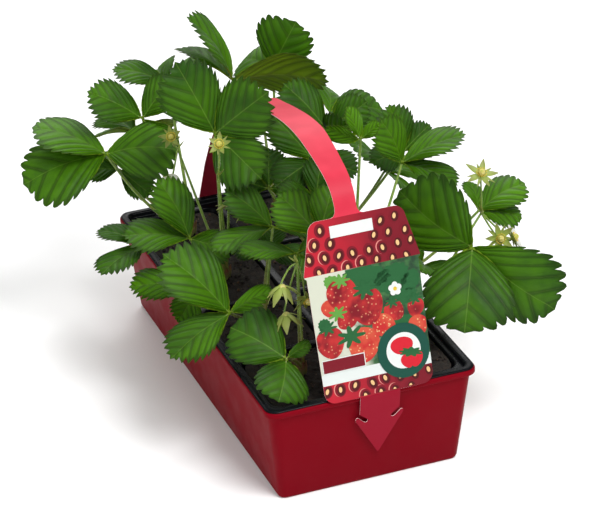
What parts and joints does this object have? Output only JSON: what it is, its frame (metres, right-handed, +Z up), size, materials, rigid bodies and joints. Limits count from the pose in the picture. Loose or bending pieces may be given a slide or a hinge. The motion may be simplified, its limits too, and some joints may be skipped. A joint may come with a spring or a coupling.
{
  "type": "strawberry plants in a carrier tray",
  "caption": "Young strawberry plants in flower, growing in a black cell insert inside a tapered red carrier tray, with an arched carrying strip that widens into a hanging label.",
  "frame": {"origin": "middle of the underside of the carrier tray, on the surface it stands on", "axes": "+Z up, +Y along the tray from the label end to the far end, +X across the tray"},
  "size_m": [0.3733, 0.4521, 0.2905],
  "materials": {
    "red_plastic": "satin red, deeper on the sides than on the rim",
    "black_plastic": "glossy black thin sheet",
    "soil": "dark moist peat with lumps and bits of bark",
    "crown": "brown and green scaly crown",
    "leaf": "mid to dark green, satin, pale veins, lighter underneath",
    "flower_stem": "yellow-green hairy stems and sepals",
    "printed_strip": "printed flexible plastic sheet, matte red"
  },
  "bodies": {
    "root": {"carrier_tray": "red_plastic", "cell_tray": "black_plastic", "soil_1": "soil", "soil_2": "soil", "soil_3": "soil", "soil_4": "soil", "soil_5": "soil", "soil_6": "soil", "soil_7": "soil", "soil_8": "soil", "crown_1": "crown", "crown_2": "crown", "crown_3": "crown", "crown_4": "crown", "crown_5": "crown", "crown_6": "crown", "crown_7": "crown", "crown_8": "crown", "leaf_01": "leaf", "leaf_02": "leaf", "leaf_03": "leaf", "leaf_04": "leaf", "leaf_05": "leaf", "leaf_06": "leaf", "leaf_07": "leaf", "leaf_08": "leaf", "leaf_09": "leaf", "leaf_10": "leaf", "leaf_11": "leaf", "leaf_12": "leaf", "leaf_13": "leaf", "leaf_14": "leaf", "leaf_15": "leaf", "leaf_16": "leaf", "leaf_17": "leaf", "leaf_18": "leaf", "leaf_19": "leaf", "leaf_20": "leaf", "leaf_21": "leaf", "leaf_22": "leaf", "leaf_23": "leaf", "leaf_24": "leaf", "leaf_25": "leaf", "leaf_26": "leaf", "leaf_27": "leaf", "leaf_28": "leaf", "leaf_29": "leaf", "leaf_30": "leaf", "flower_truss_1": "flower_stem", "flower_truss_2": "flower_stem", "flower_truss_3": "flower_stem", "flower_truss_4": "flower_stem", "flower_truss_5": "flower_stem", "carry_handle": "printed_strip"}
  },
  "joints": []
}
